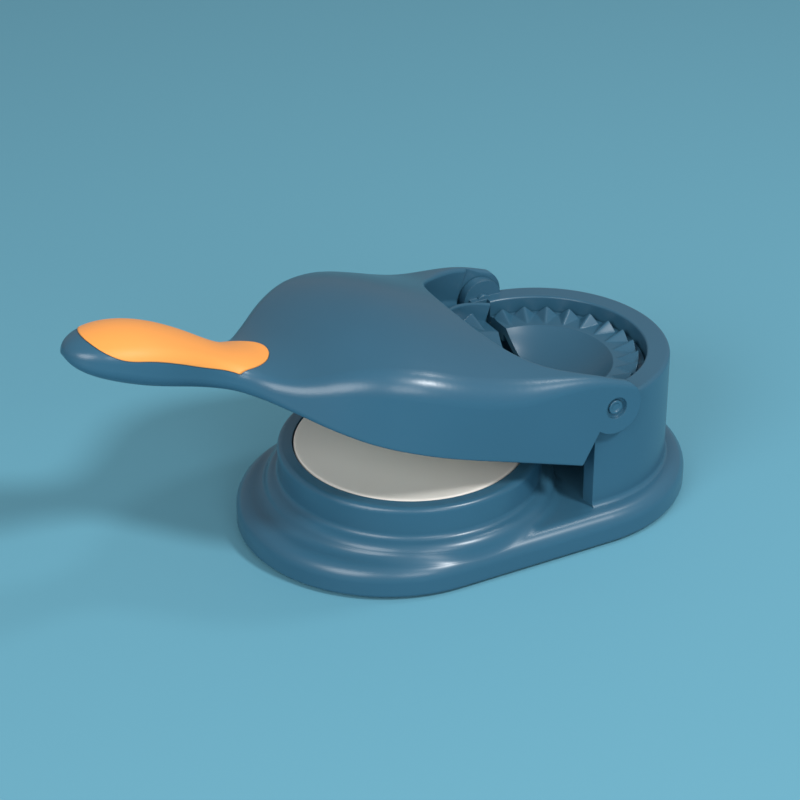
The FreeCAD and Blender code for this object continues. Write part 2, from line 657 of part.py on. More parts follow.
def cutout():
    """Space over the lever's half mould: half round towards the dome, and straight between the arms."""
    over = LEVER_CROWN + OVERRUN
    steps = [
        (0, -CUTOUT_DEPTH),
        *bend((CUTOUT_RADIUS - CUTOUT_ROUND, CUTOUT_ROUND - CUTOUT_DEPTH), CUTOUT_ROUND, -QUARTER_TURN, 0),
        (CUTOUT_RADIUS, over), (0, over),
    ]
    space = turned(steps, 0, HALF_TURN)
    space.rotate(ORIGIN, Z, HALF_TURN)
    side = outline(steps, lambda p: V(0, p[0], p[1])).extrude(X * CUTOUT_RADIUS)
    return union(space, side, side.mirror(ORIGIN, Y))


def lever_layer(growth, stations):
    """Part of the lever's outer form, grown or shrunk all round."""
    wires = []
    for place, width, top, bottom, crown, shoulder, lower in stations:
        wires.append(section(place, width + growth, top + growth, bottom - growth,
                             crown + growth, shoulder + growth, max(lower + growth, GRIP_PROUD)))
    return Part.makeLoft(wires, True, False)


def grip_bed():
    """Core that the grip lies on, inside the handle and the start of the dome."""
    return lever_layer(-GRIP_DEPTH, lever_stations()[GRIP_FIRST_STATION:-1])


def curve_through(points):
    """Smooth edge through points."""
    curve = Part.BSplineCurve()
    curve.interpolate(Points=points)
    return curve.toShape()


def grip_space(margin):
    """Space over the grip: inside the tongue's outline and above the edge on the handle's sides."""
    high = LEVER_CROWN
    side = [V(-DOME_REACH - place * HANDLE_LENGTH + (0 if width else margin),
              width * HANDLE_HALF_WIDTH + (margin if width else 0), COVER_TOP)
            for place, width in TONGUE_SHARES]
    other = [V(p.x, -p.y, p.z) for p in reversed(side[1:])]
    tongue = [curve_through(other + side), Part.LineSegment(side[-1], other[0]).toShape()]
    plan = Part.Face(Part.Wire(tongue)).extrude(Z * (high - COVER_TOP))
    reach = side[-1].y + OVERRUN
    low = [V(-DOME_REACH - place * HANDLE_LENGTH, -reach, height * LEVER_DEPTH - SKIRT_DROP - margin)
           for place, height in GRIP_EDGE_SHARES]
    rest = Part.makePolygon([low[-1], V(low[-1].x, -reach, high), V(low[0].x, -reach, high), low[0]])
    face = Part.Face(Part.Wire([curve_through(low), *rest.Edges]))
    return plan.common(face.extrude(Y * 2 * reach))


def cover_prism(margin, low, high):
    """Upright prism over the outline of the handle's cover."""
    front, rear = (DOME_REACH + share * HANDLE_LENGTH for share in COVER_END_SHARES)
    return oval(-rear, COVER_REAR_RADIUS + margin, -front, COVER_FRONT_RADIUS + margin, low, high)


def cover_screw_places():
    return [-DOME_REACH - share * HANDLE_LENGTH for share in COVER_SCREW_SHARES]


def crest_edges(shape):
    """Upper edges of the lever around the space over its half mould, along the dome and both arms."""
    edges = []
    for edge in shape.Edges:
        points = [vertex.Point for vertex in edge.Vertexes]
        on_dome = all(is_near(math.hypot(p.x, p.y), CUTOUT_RADIUS) for p in points)
        on_arm = all(is_near(abs(p.y), EAR_INNER) for p in points)
        if (on_dome or on_arm) and edge.BoundBox.ZMin > 0:
            edges.append(edge)
    return edges


def lever_shell():
    """Blue lever: dome, arms with ears and handle in one hollow moulding."""
    outer = lever_solid()
    far = LEVER_REACH
    keep_low = -CUTOUT_DEPTH - LEVER_WALL
    ledge_low = LEVER_RIM_LOW - LEDGE_THICKNESS
    over = LEVER_CROWN + OVERRUN
    under = -SKIRT_DROP - OVERRUN
    pads = [block(-EAR_PAD_LENGTH, far, *sorted((side * EAR_INNER, side * far)), under, over) for side in (-1, 1)]
    bosses = [upright(PEG_RADIUS + PEG_BOSS_WALL, DISC_HIGH, over, x, y) for x, y in peg_places()]
    hollow = lever_hollow().cut([
        upright(CUTOUT_RADIUS + LEVER_WALL, keep_low, over),
        upright(RECESS_RADIUS + LEVER_WALL, ledge_low, over),
        *pads, *bosses,
    ])
    shape = outer.cut(cutout())
    shape = shape.makeFillet(CREST_ROUND, crest_edges(shape))
    shape = shape.cut([
        hollow,
        rear_cutter(),
        upright(RECESS_RADIUS, LEVER_RIM_LOW, over),
        upright(LEDGE_RADIUS, under, over),
        block(-SEAT_SETBACK, far, -EAR_INNER, EAR_INNER, under, over),
    ])
    shape = shape.cut(grip_space(GRIP_GAP).cut(grip_bed()))
    cavity = cover_prism(-COVER_LEDGE, COVER_TOP - OVERRUN, COVER_TOP + HANDLE_CAVITY)
    cavity = cavity.cut([upright(SCREW_RADIUS + COVER_SCREW_WALL, COVER_TOP, COVER_TOP + HANDLE_CAVITY, x)
                         for x in cover_screw_places()])
    shape = shape.cut([cover_prism(COVER_GAP, under, COVER_TOP), cavity])
    holes = [upright(PEG_RADIUS + PEG_GAP, DISC_HIGH - OVERRUN, DISC_HIGH + PEG_LENGTH, x, y)
             for x, y in peg_places()]
    holes += [upright(HOLE_RADIUS, ledge_low - OVERRUN, LEVER_RIM_LOW + OVERRUN, -x, -y)
              for x, y in mould_screw_places()]
    holes += [upright(BORE_RADIUS, COVER_TOP - OVERRUN, COVER_TOP + SCREW_BITE, x) for x in cover_screw_places()]
    for side in (-1, 1):
        holes.append(Part.makeCylinder(PIN_RADIUS + PIN_RUNNING_GAP, far, ORIGIN, Y * side))
        sink = V(0, side * (LEVER_HALF_WIDTH - EAR_SINK_DEPTH), 0)
        holes.append(Part.makeCylinder(EAR_SINK_RADIUS, far, sink, Y * side))
    return swung(shape.cut(holes))


def handle_cover():
    """Cover that closes the handle from below, flush with its underside."""
    under = -SKIRT_DROP - OVERRUN
    shape = lever_solid().common(cover_prism(0, under, COVER_TOP))
    holes = []
    for x in cover_screw_places():
        holes.append(upright(HOLE_RADIUS, under, COVER_TOP + OVERRUN, x))
        holes.append(upright(SCREW_HEAD_RADIUS + SCREW_HOLE_GAP, under, COVER_TOP - COVER_SINK, x))
    return swung(shape.cut(holes))


def handle_cover_screws():
    seat = COVER_TOP - COVER_SINK
    return swung(Part.makeCompound([screw(x, 0, seat, COVER_SINK) for x in cover_screw_places()]))


def grip_inlay():
    """Orange grip let into the top of the handle, standing a little proud."""
    shape = grip_space(0).common(lever_layer(GRIP_PROUD, lever_stations()[GRIP_FIRST_STATION:]))
    return swung(shape.cut(grip_bed()))


def press_disc():
    """White disc that flattens the dough, on three pegs."""
    shape = turned([
        (0, DISC_LOW), *bend((PLATE_RADIUS - DISC_ROUND, DISC_LOW + DISC_ROUND), DISC_ROUND, -QUARTER_TURN, 0),
        (PLATE_RADIUS, DISC_HIGH), (0, DISC_HIGH),
    ], -PLATE_TO_PIVOT)
    pegs = [upright(PEG_RADIUS, DISC_HIGH - DISC_ROUND, DISC_HIGH + PEG_LENGTH - PEG_GAP, x, y)
            for x, y in peg_places()]
    return swung(union(shape, *pegs))


PIECES = {
    "base_shell": base_shell,
    "dough_plate": dough_plate,
    "dough_plate_screws": dough_plate_screws,
    "base_half_mould": base_half_mould,
    "base_mould_screws": base_mould_screws,
    "front_hinge_pin": lambda: hinge_pin(-1),
    "rear_hinge_pin": lambda: hinge_pin(1),
    "lever_shell": lever_shell,
    "handle_cover": handle_cover,
    "handle_cover_screws": handle_cover_screws,
    "grip_inlay": grip_inlay,
    "press_disc": press_disc,
    "lever_half_mould": lever_half_mould,
    "lever_mould_screws": lever_mould_screws,
}

os.makedirs("parts", exist_ok=True)
for name, make in PIECES.items():
    make().exportStep("parts/" + name + ".step")
for name, (x, y) in rubber_places().items():
    rubber_foot(x, y).exportStep("parts/rubber_foot_" + name + ".step")
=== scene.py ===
import json
import math

import bmesh
import bpy
import numpy as np
from bpy.props import FloatProperty, FloatVectorProperty, IntProperty, PointerProperty
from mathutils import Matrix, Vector


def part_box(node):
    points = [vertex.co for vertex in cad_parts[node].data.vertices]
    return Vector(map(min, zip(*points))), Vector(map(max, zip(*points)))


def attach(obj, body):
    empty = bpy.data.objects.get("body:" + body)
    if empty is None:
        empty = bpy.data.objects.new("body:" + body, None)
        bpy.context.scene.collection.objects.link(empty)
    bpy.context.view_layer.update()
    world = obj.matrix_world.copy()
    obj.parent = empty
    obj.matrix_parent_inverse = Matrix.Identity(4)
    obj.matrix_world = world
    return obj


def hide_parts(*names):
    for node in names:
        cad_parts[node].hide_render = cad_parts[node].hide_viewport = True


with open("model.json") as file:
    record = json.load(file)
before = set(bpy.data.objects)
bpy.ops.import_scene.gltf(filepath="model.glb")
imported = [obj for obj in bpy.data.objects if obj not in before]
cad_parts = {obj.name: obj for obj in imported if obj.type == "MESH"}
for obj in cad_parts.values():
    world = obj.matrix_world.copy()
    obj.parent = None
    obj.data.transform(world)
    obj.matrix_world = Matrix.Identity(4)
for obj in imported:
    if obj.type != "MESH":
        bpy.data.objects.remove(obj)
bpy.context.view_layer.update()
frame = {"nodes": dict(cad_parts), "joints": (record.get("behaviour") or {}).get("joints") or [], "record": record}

bl_info = {
    "name": "Ravioli press",
    "version": (1, 0, 0),
    "blender": (4, 5, 0),
    "location": "View3D > Sidebar > Press",
    "description": "Finishes and small pieces of a hand press that flattens and folds ravioli",
    "category": "Object",
}

MM = 0.001
HINGE = next(joint for joint in frame["joints"] if joint["name"] == "lever_hinge")
PIVOT = np.array(HINGE["pos_m"])
REST_ANGLE = -math.radians(HINGE["range_deg"][0])
PLATE_LOW, PLATE_HIGH = (np.array(corner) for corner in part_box("dough_plate"))
PLATE_AXIS = (PLATE_LOW + PLATE_HIGH) / 2

FULL_TURN = 2 * math.pi
SMOOTH_BELOW = math.radians(40)
MERGE_DISTANCE = 1e-6
DISSOLVE_DISTANCE = 1e-7

# Points over the surfaces
HOLLOW_POINTS = 16
RIM_POINTS = 18
LIP_POINTS = 13
POINTS_PER_TOOTH = 30
COVE_ROWS = 480
COVE_POINTS = 15
FACE_POINTS = 26
TREAD_POINTS = 60
PLATE_ROWS = 256
SCREW_ROWS = 72
PIN_ROWS = 96
RUBBER_ROWS = 96

# Clearances of the half moulds, as in the solids
TOE_GAP = 0.4 * MM
TOOTH_SINK = 0.4 * MM
TOOTH_LIP_GAP = 0.6 * MM
FLANK_GAP = 0.25 * MM
CUP_LEDGE = 1 * MM

# Softening of the half moulds: two lengths, then two shares of a tooth's height
RIM_ROUND = 0.5 * MM
NUDGE = 0.02 * MM
VALLEY_SOFTNESS = 0.03
VALLEY_DROP = 0.005

# How the cove leaves the base
COVE_CLEARANCE = 0.1 * MM
COVE_DIP = 0.12 * MM
SLOPE_STEP = 0.01 * MM

# Dough plate: its round edge, its faint rim, and how far its top is dished
PLATE_ROUND = 1 * MM
PLATE_RIM = 2 * MM
PLATE_RIM_SLOPE = 0.8 * MM
PLATE_DISH = 0.16 * MM

# Screws: their places, shares of the head's radius, of its height and of the bite, then lengths
PLATE_SCREW_ANGLES = np.radians((60, 180, 300))
MOULD_SCREW_ANGLES = np.radians((-50, 0, 50))
FACE_RADIUS = 0.72
SHOULDER_RADIUS = 0.97
CROSS_RADIUS = 0.66
CROWN_HEIGHT = 0.25
SHOULDER_HEIGHT = 0.7
CROSS_DEPTH = 0.55
POINT_START = 0.7
CROSS_HALF_WIDTH = 0.5 * MM
CROSS_WALL = 0.16 * MM
CROSS_END_WALL = 0.2 * MM
SCREW_ROUND = 0.25 * MM

# Hinge pins: shares of their radius, then lengths
DISH_BRIM = 0.66
DISH_FLOOR = 0.55
DISH_DEPTH = 0.35 * MM
PIN_ROUND = 0.45 * MM

# Rubber feet: a share of their radius, a count, then lengths
TREAD_RADIUS = 0.88
TREAD_RINGS = 3
RUBBER_CHAMFER = 0.5 * MM
RUBBER_ROUND = 0.4 * MM

# Stage, in metres, with the camera's sensor in its own millimetres
FLOOR_REACH = 6.0
LAMP_AIM = Vector((0.0, 0.0, 0.04))
CAMERA_PLACE = Vector((-0.3881, -0.6704, 0.4812))
CAMERA_AIM = Vector((0.01351, 0.07521, 0.0))
CLIP_START = 0.01
CLIP_END = 50.0
SENSOR_WIDTH = 36.0
SURROUND_COLOUR = (0.97, 0.985, 1.0, 1.0)


# Sizes and colours that a user would change

def length_field(name, description, millimetres):
    return FloatProperty(name=name, description=description, default=millimetres * MM, unit="LENGTH")


def angle_field(name, description, degrees):
    return FloatProperty(name=name, description=description, default=math.radians(degrees), unit="ROTATION")


def colour_field(name, description, default):
    return FloatVectorProperty(
        name=name, description=description, subtype="COLOR", size=3, min=0, max=1, default=default)


def power_field(name, description, watts):
    return FloatProperty(name=name, description=description, default=watts, min=0, unit="POWER")


class PressSizes(bpy.types.PropertyGroup):
    """Sizes of the pieces that are made here, as in the solids.

    Heights of moulds and cover screws are about the pivot, those of step and foot above the table."""
    mould_radius: length_field("Mould radius", "Outer radius of both half moulds", 38.8)
    cavity_radius: length_field("Cavity radius", "Radius of the hollow for the filling", 27.0)
    cup_low: length_field("Cup bottom", "Height of the cups' underside", -18.0)
    cup_wall: length_field("Cup wall", "Wall at the bottom of the cups", 2.0)
    rim_thickness: length_field("Rim thickness", "Thickness of the rim under the teeth", 3.4)
    split_gap: length_field("Split gap", "From the pivot plane to each mould's flat end", 0.75)
    lip_width: length_field("Lip width", "Width of the lip round the lever's mould", 1.8)
    lip_top: length_field("Lip top", "Height of that lip", 1.3)
    tooth_height: length_field("Tooth height", "Height of the crimping teeth", 3.6)
    tooth_softness: length_field("Tooth softness", "Rounding of the teeth's ridges", 0.4)
    tooth_below_lip: length_field("Teeth below lip", "From the lip's top down to the lever's teeth", 3.7)
    base_tooth_drop: length_field("Base tooth drop", "From the pivot down to the base's teeth", 1.2)
    screw_head: length_field("Screw head", "Radius of the screw heads", 2.4)
    screw_head_height: length_field("Screw head height", "Height of the screw heads", 1.6)
    screw_shank: length_field("Screw shank", "Radius of the screw shanks", 1.25)
    screw_bite: length_field("Screw bite", "How far the screws reach into what they hold", 2.6)
    plate_screw_circle: length_field("Plate screw circle", "Radius of the screws under the plate", 30.0)
    mould_screw_circle: length_field("Mould screw circle", "Radius of the screws under the moulds", 34.15)
    ring_floor: length_field("Ring floor", "Thickness of the floor under the plate", 2.4)
    ledge: length_field("Ledge", "Thickness of the ledges under the moulds", 3.0)
    cover_screw_near: length_field("Near cover screw", "From the pivot to the cover's first screw", 139.6)
    cover_screw_far: length_field("Far cover screw", "From the pivot to the cover's second screw", 167.3)
    cover_screw_seat: length_field("Cover screw seat", "Height of the seat of those screws", -20.014)
    cover_screw_grip: length_field("Cover screw grip", "Thickness of the cover at those screws", 1.4)
    foot_groove: length_field("Foot groove", "Depth of the grooves under the rubber feet", 0.35)
    step_radius: length_field("Step radius", "Radius of the step under the plate's ring", 54.2)
    step_round: length_field("Step rounding", "Upper rounding of the step", 4.6)
    step_round_high: length_field("Step wall top", "Height where the step's rounding starts", 13.8)
    foot_top: length_field("Foot top", "Height of the oval foot", 13.0)
    foot_round: length_field("Foot rounding", "Upper rounding of the oval foot", 5.6)
    cove_rise: length_field("Cove rise", "How far the cove climbs the step", 2.4)
    cove_reach: length_field("Cove reach", "How far the cove runs out on the foot", 3.6)
    cove_tail: length_field("Cove tail", "Length over which the cove's edges dip into the base", 2.0)
    cove_sink: length_field("Cove sink", "How far the cove's back lies inside the base", 0.6)
    cove_start: angle_field("Cove start", "Angle from the tower to the cove's ends", 21)
    cove_run_out: angle_field("Cove run-out", "Angle over which the cove grows", 9)
    tooth_count: IntProperty(
        name="Teeth", description="Crimping teeth around the base's half mould", default=13, min=3)


class PressColours(bpy.types.PropertyGroup):
    """Colours of the finishes, as they look in plain light."""
    blue: colour_field("Blue plastic", "Moulded shells and half moulds", (0.031, 0.112, 0.181))
    white: colour_field("White plastic", "Dough plate and press disc", (0.72, 0.69, 0.635))
    orange: colour_field("Orange grip", "Soft grip on the handle", (0.93, 0.36, 0.075))
    rubber: colour_field("Rubber", "Feet under the base", (0.028, 0.029, 0.031))
    steel: colour_field("Steel", "Screws", (0.56, 0.56, 0.58))
    floor: colour_field("Floor", "Plain floor under the press", (0.138, 0.375, 0.49))


class PressStage(bpy.types.PropertyGroup):
    """Camera and lights."""
    lens: FloatProperty(
        name="Lens", description="Focal length of the camera", default=108.0, min=1, unit="CAMERA")
    key: power_field("Key light", "Strength of the soft lamp on the near right", 28.0)
    front: power_field("Front light", "Strength of the soft lamp in front", 2.6)
    side: power_field("Side light", "Strength of the high soft lamp on the right", 1.3)
    fill: power_field("Fill light", "Strength of the large soft lamp on the left", 12.0)
    surround: FloatProperty(
        name="Surround", description="Strength of the even light from all sides", default=0.27, min=0)


# Shader maths

class Value:
    """A shader socket that takes part in Python sums: each operator adds one Math node."""

    def __init__(self, finish, socket):
        self.finish = finish
        self.socket = socket

    def _math(self, operation, first, second):
        return self.finish.node("ShaderNodeMath", {"operation": operation}, {0: first, 1: second})

    def __add__(self, other):
        return self._math("ADD", self, other)

    def __mul__(self, other):
        return self._math("MULTIPLY", self, other)

    __radd__ = __add__


class Finish:
    """A material with one Principled shader, built node by node."""

    def __init__(self, name, constants):
        self.material = bpy.data.materials.new(name)
        self.material.use_nodes = True
        self.tree = self.material.node_tree
        self.shader = self.tree.nodes["Principled BSDF"]
        for socket, value in constants.items():
            self.shader.inputs[socket].default_value = value
        self.place = self.node("ShaderNodeTexCoord", {}, {}, "Object")

    def node(self, kind, settings, sockets, output=0):
        """Adds a node of a kind, with its settings first and then the values or links of its sockets."""
        node = self.tree.nodes.new(kind)
        for name, setting in settings.items():
            setattr(node, name, setting)
        for key, value in sockets.items():
            if isinstance(value, Value):
                self.tree.links.new(value.socket, node.inputs[key])
            else:
                node.inputs[key].default_value = value
        return Value(self, node.outputs[output])

    def noise(self, scale, detail, rough=0.5):
        """Cloudy pattern from 0 to 1 on the piece's own place."""
        return self.node("ShaderNodeTexNoise", {}, {
            "Vector": self.place, "Scale": scale, "Detail": detail, "Roughness": rough}, "Fac")

    def mix(self, factor, first, second):
        """Colour between two colours: inputs 6 and 7 and output 2 are the Mix node's colour sockets."""
        return self.node("ShaderNodeMix", {"data_type": "RGBA"}, {0: factor, 6: first, 7: second}, 2)

    def bump(self, height, strength, distance, normal=None):
        """Normal that is tilted by a height."""
        sockets = {"Strength": strength, "Distance": distance, "Height": height}
        if normal is not None:
            sockets["Normal"] = normal
        return self.node("ShaderNodeBump", {}, sockets)

    def soft_edges(self, radius):
        """Normal that is rounded over sharp edges."""
        return self.node("ShaderNodeBevel", {"samples": 4}, {"Radius": radius})

    def feed(self, **sockets):
        """Links what varies over the surface to the shader."""
        names = {"colour": "Base Color", "rough": "Roughness", "normal": "Normal"}
        for key, value in sockets.items():
            self.tree.links.new(value.socket, self.shader.inputs[names[key]])
        return self.material


def shade(colour, factor):
    """Colour made lighter or darker, with full cover."""
    return tuple(min(1.0, channel * factor) for channel in colour) + (1.0,)


def blue_plastic(colours):
    """Satin moulded plastic: a fine spark-eroded grain, faint flow clouds and softened edges."""
    finish = Finish("blue_plastic", {
        "IOR": 1.5, "Specular IOR Level": 0.45, "Coat Weight": 0.2, "Coat Roughness": 0.24})
    clouds = finish.noise(26.0, 3.0)
    grain = finish.noise(2600.0, 2.0)
    colour = finish.mix(clouds, shade(colours.blue, 0.94), shade(colours.blue, 1.07))
    rough = 0.28 + clouds * 0.05 + grain * 0.04
    normal = finish.bump(grain, 0.12, 0.02 * MM, finish.soft_edges(0.45 * MM))
    return finish.feed(colour=colour, rough=rough, normal=normal)


def white_plastic(colours):
    """Smooth food-safe plastic, a little warmer in places, with faint rubbing marks."""
    finish = Finish("white_plastic", {"IOR": 1.49, "Coat Weight": 0.06, "Coat Roughness": 0.2})
    clouds = finish.noise(22.0, 3.0)
    grain = finish.noise(1500.0, 2.0)
    colour = finish.mix(clouds, shade(colours.white, 0.975), shade(colours.white, 1.015))
    rough = 0.36 + clouds * 0.08 + grain * 0.05
    normal = finish.bump(grain, 0.08, 0.02 * MM)
    return finish.feed(colour=colour, rough=rough, normal=normal)


def orange_grip(colours):
    """Soft-touch grip: matte, with a fine stipple and a slight change of tint along it."""
    finish = Finish("orange_grip", {"IOR": 1.45, "Sheen Weight": 0.08, "Sheen Roughness": 0.5})
    clouds = finish.noise(34.0, 3.0)
    stipple = finish.noise(3200.0, 1.0, 0.4)
    colour = finish.mix(clouds, shade(colours.orange, 0.95), shade(colours.orange, 1.05))
    rough = 0.46 + stipple * 0.12
    normal = finish.bump(stipple, 0.2, 0.03 * MM, finish.soft_edges(0.5 * MM))
    return finish.feed(colour=colour, rough=rough, normal=normal)


def black_rubber(colours):
    """Dull rubber with a dusty bloom."""
    finish = Finish("rubber", {"IOR": 1.5, "Specular IOR Level": 0.35})
    bloom = finish.noise(420.0, 4.0)
    colour = finish.mix(bloom, shade(colours.rubber, 0.8), shade(colours.rubber, 1.5))
    rough = 0.72 + bloom * 0.18
    return finish.feed(colour=colour, rough=rough, normal=finish.bump(bloom, 0.25, 0.05 * MM))


def plain_steel(colours):
    """Zinc-plated steel with a fine brushed grain."""
    finish = Finish("steel", {"Metallic": 1.0})
    grain = finish.noise(1400.0, 3.0)
    colour = finish.mix(grain, shade(colours.steel, 0.88), shade(colours.steel, 1.08))
    rough = 0.26 + grain * 0.14
    return finish.feed(colour=colour, rough=rough, normal=finish.bump(grain, 0.1, 0.02 * MM))


MAKERS = {"blue_plastic": blue_plastic, "white_plastic": white_plastic, "orange_grip": orange_grip,
          "rubber": black_rubber, "steel": plain_steel}


def finish_for(slot):
    """The material of a slot, made once."""
    found = bpy.data.materials.get("press_" + slot)
    if found is None:
        found = MAKERS[slot](bpy.context.scene.press_colours)
        found.name = "press_" + slot
    return found


# Surfaces

def grid_faces(rows, columns, wrap_rows=False):
    """Quads between neighbouring points of a grid that is stored row by row."""
    row = np.arange(rows if wrap_rows else rows - 1)[:, None]
    column = np.arange(columns - 1)[None, :]
    next_row = (row + 1) % rows
    corners = np.broadcast_arrays(row * columns + column, row * columns + column + 1,
                                  next_row * columns + column + 1, next_row * columns + column)
    return np.stack(corners, -1).reshape(-1, 4)


def add_piece(name, surfaces, body, slot, nodes):
    """Makes one closed mesh of point and face arrays, joins its seams and poles, and puts it on its body."""
    starts = np.cumsum([0] + [len(points) for points, faces in surfaces])
    points = np.concatenate([points for points, faces in surfaces])
    faces = np.concatenate([faces + start for (_, faces), start in zip(surfaces, starts)])
    mesh = bpy.data.meshes.new(name)
    mesh.from_pydata(points.tolist(), [], faces.tolist())
    work = bmesh.new()
    work.from_mesh(mesh)
    bmesh.ops.remove_doubles(work, verts=work.verts, dist=MERGE_DISTANCE)
    bmesh.ops.dissolve_degenerate(work, edges=work.edges, dist=DISSOLVE_DISTANCE)
    bmesh.ops.recalc_face_normals(work, faces=work.faces)
    work.to_mesh(mesh)
    work.free()
    mesh.shade_smooth()
    mesh.set_sharp_from_angle(angle=SMOOTH_BELOW)
    mesh.materials.append(finish_for(slot))
    piece = bpy.data.objects.new(name, mesh)
    bpy.context.scene.collection.objects.link(piece)
    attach(piece, body)
    if nodes:
        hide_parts(*nodes)
    return piece


def round_corners(profile, radius, steps=6):
    """Profile whose corners are rounded: a quadratic curve between the two shoulders of each corner."""
    profile = np.asarray(profile, float)
    corner = profile[1:-1]
    back, ahead = profile[:-2] - corner, profile[2:] - corner
    reach_back = np.linalg.norm(back, axis=1, keepdims=True)
    reach_ahead = np.linalg.norm(ahead, axis=1, keepdims=True)
    cut = np.minimum(radius, 0.45 * np.minimum(reach_back, reach_ahead))
    first, last = corner + back / reach_back * cut, corner + ahead / reach_ahead * cut
    t = np.linspace(0, 1, steps)[None, :, None]
    curves = (1 - t) ** 2 * first[:, None] + 2 * t * (1 - t) * corner[:, None] + t ** 2 * last[:, None]
    return np.concatenate([profile[:1], curves.reshape(-1, 2), profile[-1:]])


def turned(profile, centre, rows):
    """Profile of radius and height carried round an upright axis: x = r cos a, y = r sin a, z = height."""
    angle = np.linspace(0, FULL_TURN, rows, endpoint=False)[:, None]
    radius, height = np.asarray(profile, float).T
    x, y, z = np.broadcast_arrays(radius * np.cos(angle), radius * np.sin(angle), height)
    points = np.stack([x, y, z], -1).reshape(-1, 3)
    return points + np.asarray(centre), grid_faces(rows, len(height), wrap_rows=True)


def on_circle(radius, angles):
    """Places at the given angles on a level circle: x = r cos a, y = r sin a, z = 0."""
    return radius * np.stack([np.cos(angles), np.sin(angles), 0 * angles], -1)


def swing(points):
    """Turns points of the closed lever, given about the pivot, to the lever's place at rest."""
    cos, sin = math.cos(REST_ANGLE), math.sin(REST_ANGLE)
    x, y, z = np.asarray(points).T
    return np.stack([x * cos + z * sin, y, z * cos - x * sin], -1) + PIVOT


def half_mould(sizes, tip, has_lip):
    """Half of a folding mould about the pivot, over an angle and a radius.

    The top is a spherical hollow, then a rim. A tooth's height is in proportion to the way from its toe
    to its outer end, less the distance from its ridge over its half width, with ridge and valley softened.
    At each radius r the angle runs as far as the flat cut allows, to the arc cosine of gap over r."""
    gap, reach, cavity = sizes.split_gap, sizes.mould_radius, sizes.cavity_radius
    valley = tip - sizes.tooth_height
    low, toe, bore = valley - sizes.rim_thickness, cavity + TOE_GAP, reach - sizes.lip_width
    hollow_low = sizes.cup_low + sizes.cup_wall
    outer = bore + TOOTH_SINK if has_lip else bore - TOOTH_LIP_GAP
    last = bore - NUDGE if has_lip else outer
    pitch = math.pi / sizes.tooth_count
    first, count = (pitch, sizes.tooth_count - 1) if has_lip else (pitch / 2, sizes.tooth_count)

    def dish(radius, bottom, brim_radius, brim):
        arc = (brim_radius ** 2 + (brim - bottom) ** 2) / (2 * (brim - bottom))
        return bottom + arc - np.sqrt(arc ** 2 - np.minimum(radius, brim_radius) ** 2)

    if has_lip:
        turn = np.linspace(math.pi, 0, LIP_POINTS)
        edge = np.stack([reach - sizes.lip_width / 2 * (1 - np.cos(turn)),
                         sizes.lip_top - sizes.lip_width / 2 * (1 - np.sin(turn))], -1)
    else:
        edge = round_corners([(outer + 2.5 * NUDGE, valley), (reach, valley), (reach, low)], RIM_ROUND)[:-1]
        edge[:, 0] += np.linspace(0, NUDGE / 20, len(edge))
    rim = np.linspace(toe, last, RIM_POINTS)
    inner = np.linspace(gap, cavity, HOLLOW_POINTS)
    radius = np.concatenate([inner, rim, edge[:, 0]])
    flat = np.concatenate([dish(inner, hollow_low, cavity, valley), np.full(RIM_POINTS, valley), edge[:, 1]])
    toothed = np.concatenate([np.zeros(HOLLOW_POINTS), np.ones(RIM_POINTS), np.zeros(len(edge))])
    share = np.linspace(-1, 1, POINTS_PER_TOOTH * sizes.tooth_count + 1)[:, None]
    angle = share * np.arccos(gap / radius)
    index = np.clip(np.round((angle + math.pi / 2 - first) / pitch), 0, count - 1)
    off_ridge = radius * np.sin(angle + math.pi / 2 - first - index * pitch)
    half_width = outer * math.tan(pitch / 2) - FLANK_GAP
    off_soft = np.sqrt(off_ridge ** 2 + sizes.tooth_softness ** 2)
    rise = (radius - toe) / (outer - toe) - off_soft / half_width
    rise = 0.5 * (rise + np.sqrt(rise ** 2 + VALLEY_SOFTNESS ** 2)) - VALLEY_DROP
    top = flat + toothed * sizes.tooth_height * np.maximum(rise, 0)
    cup = cavity + CUP_LEDGE
    under = np.where(radius < cup, dish(radius, sizes.cup_low, cup, low), low)
    x, y = radius * np.cos(angle), radius * np.sin(angle)
    pairs = ((x, x), (y, y), (top, np.broadcast_to(under, x.shape)))
    loop = [np.concatenate([upper, lower[:, ::-1]], 1) for upper, lower in pairs]
    rows, columns = loop[0].shape
    step = np.arange(len(radius) - 1)
    cap = np.stack([step, step + 1, columns - 2 - step, columns - 1 - step], -1)
    faces = np.concatenate([grid_faces(rows, columns), cap, cap + (rows - 1) * columns])
    return np.stack(loop, -1).reshape(-1, 3), faces


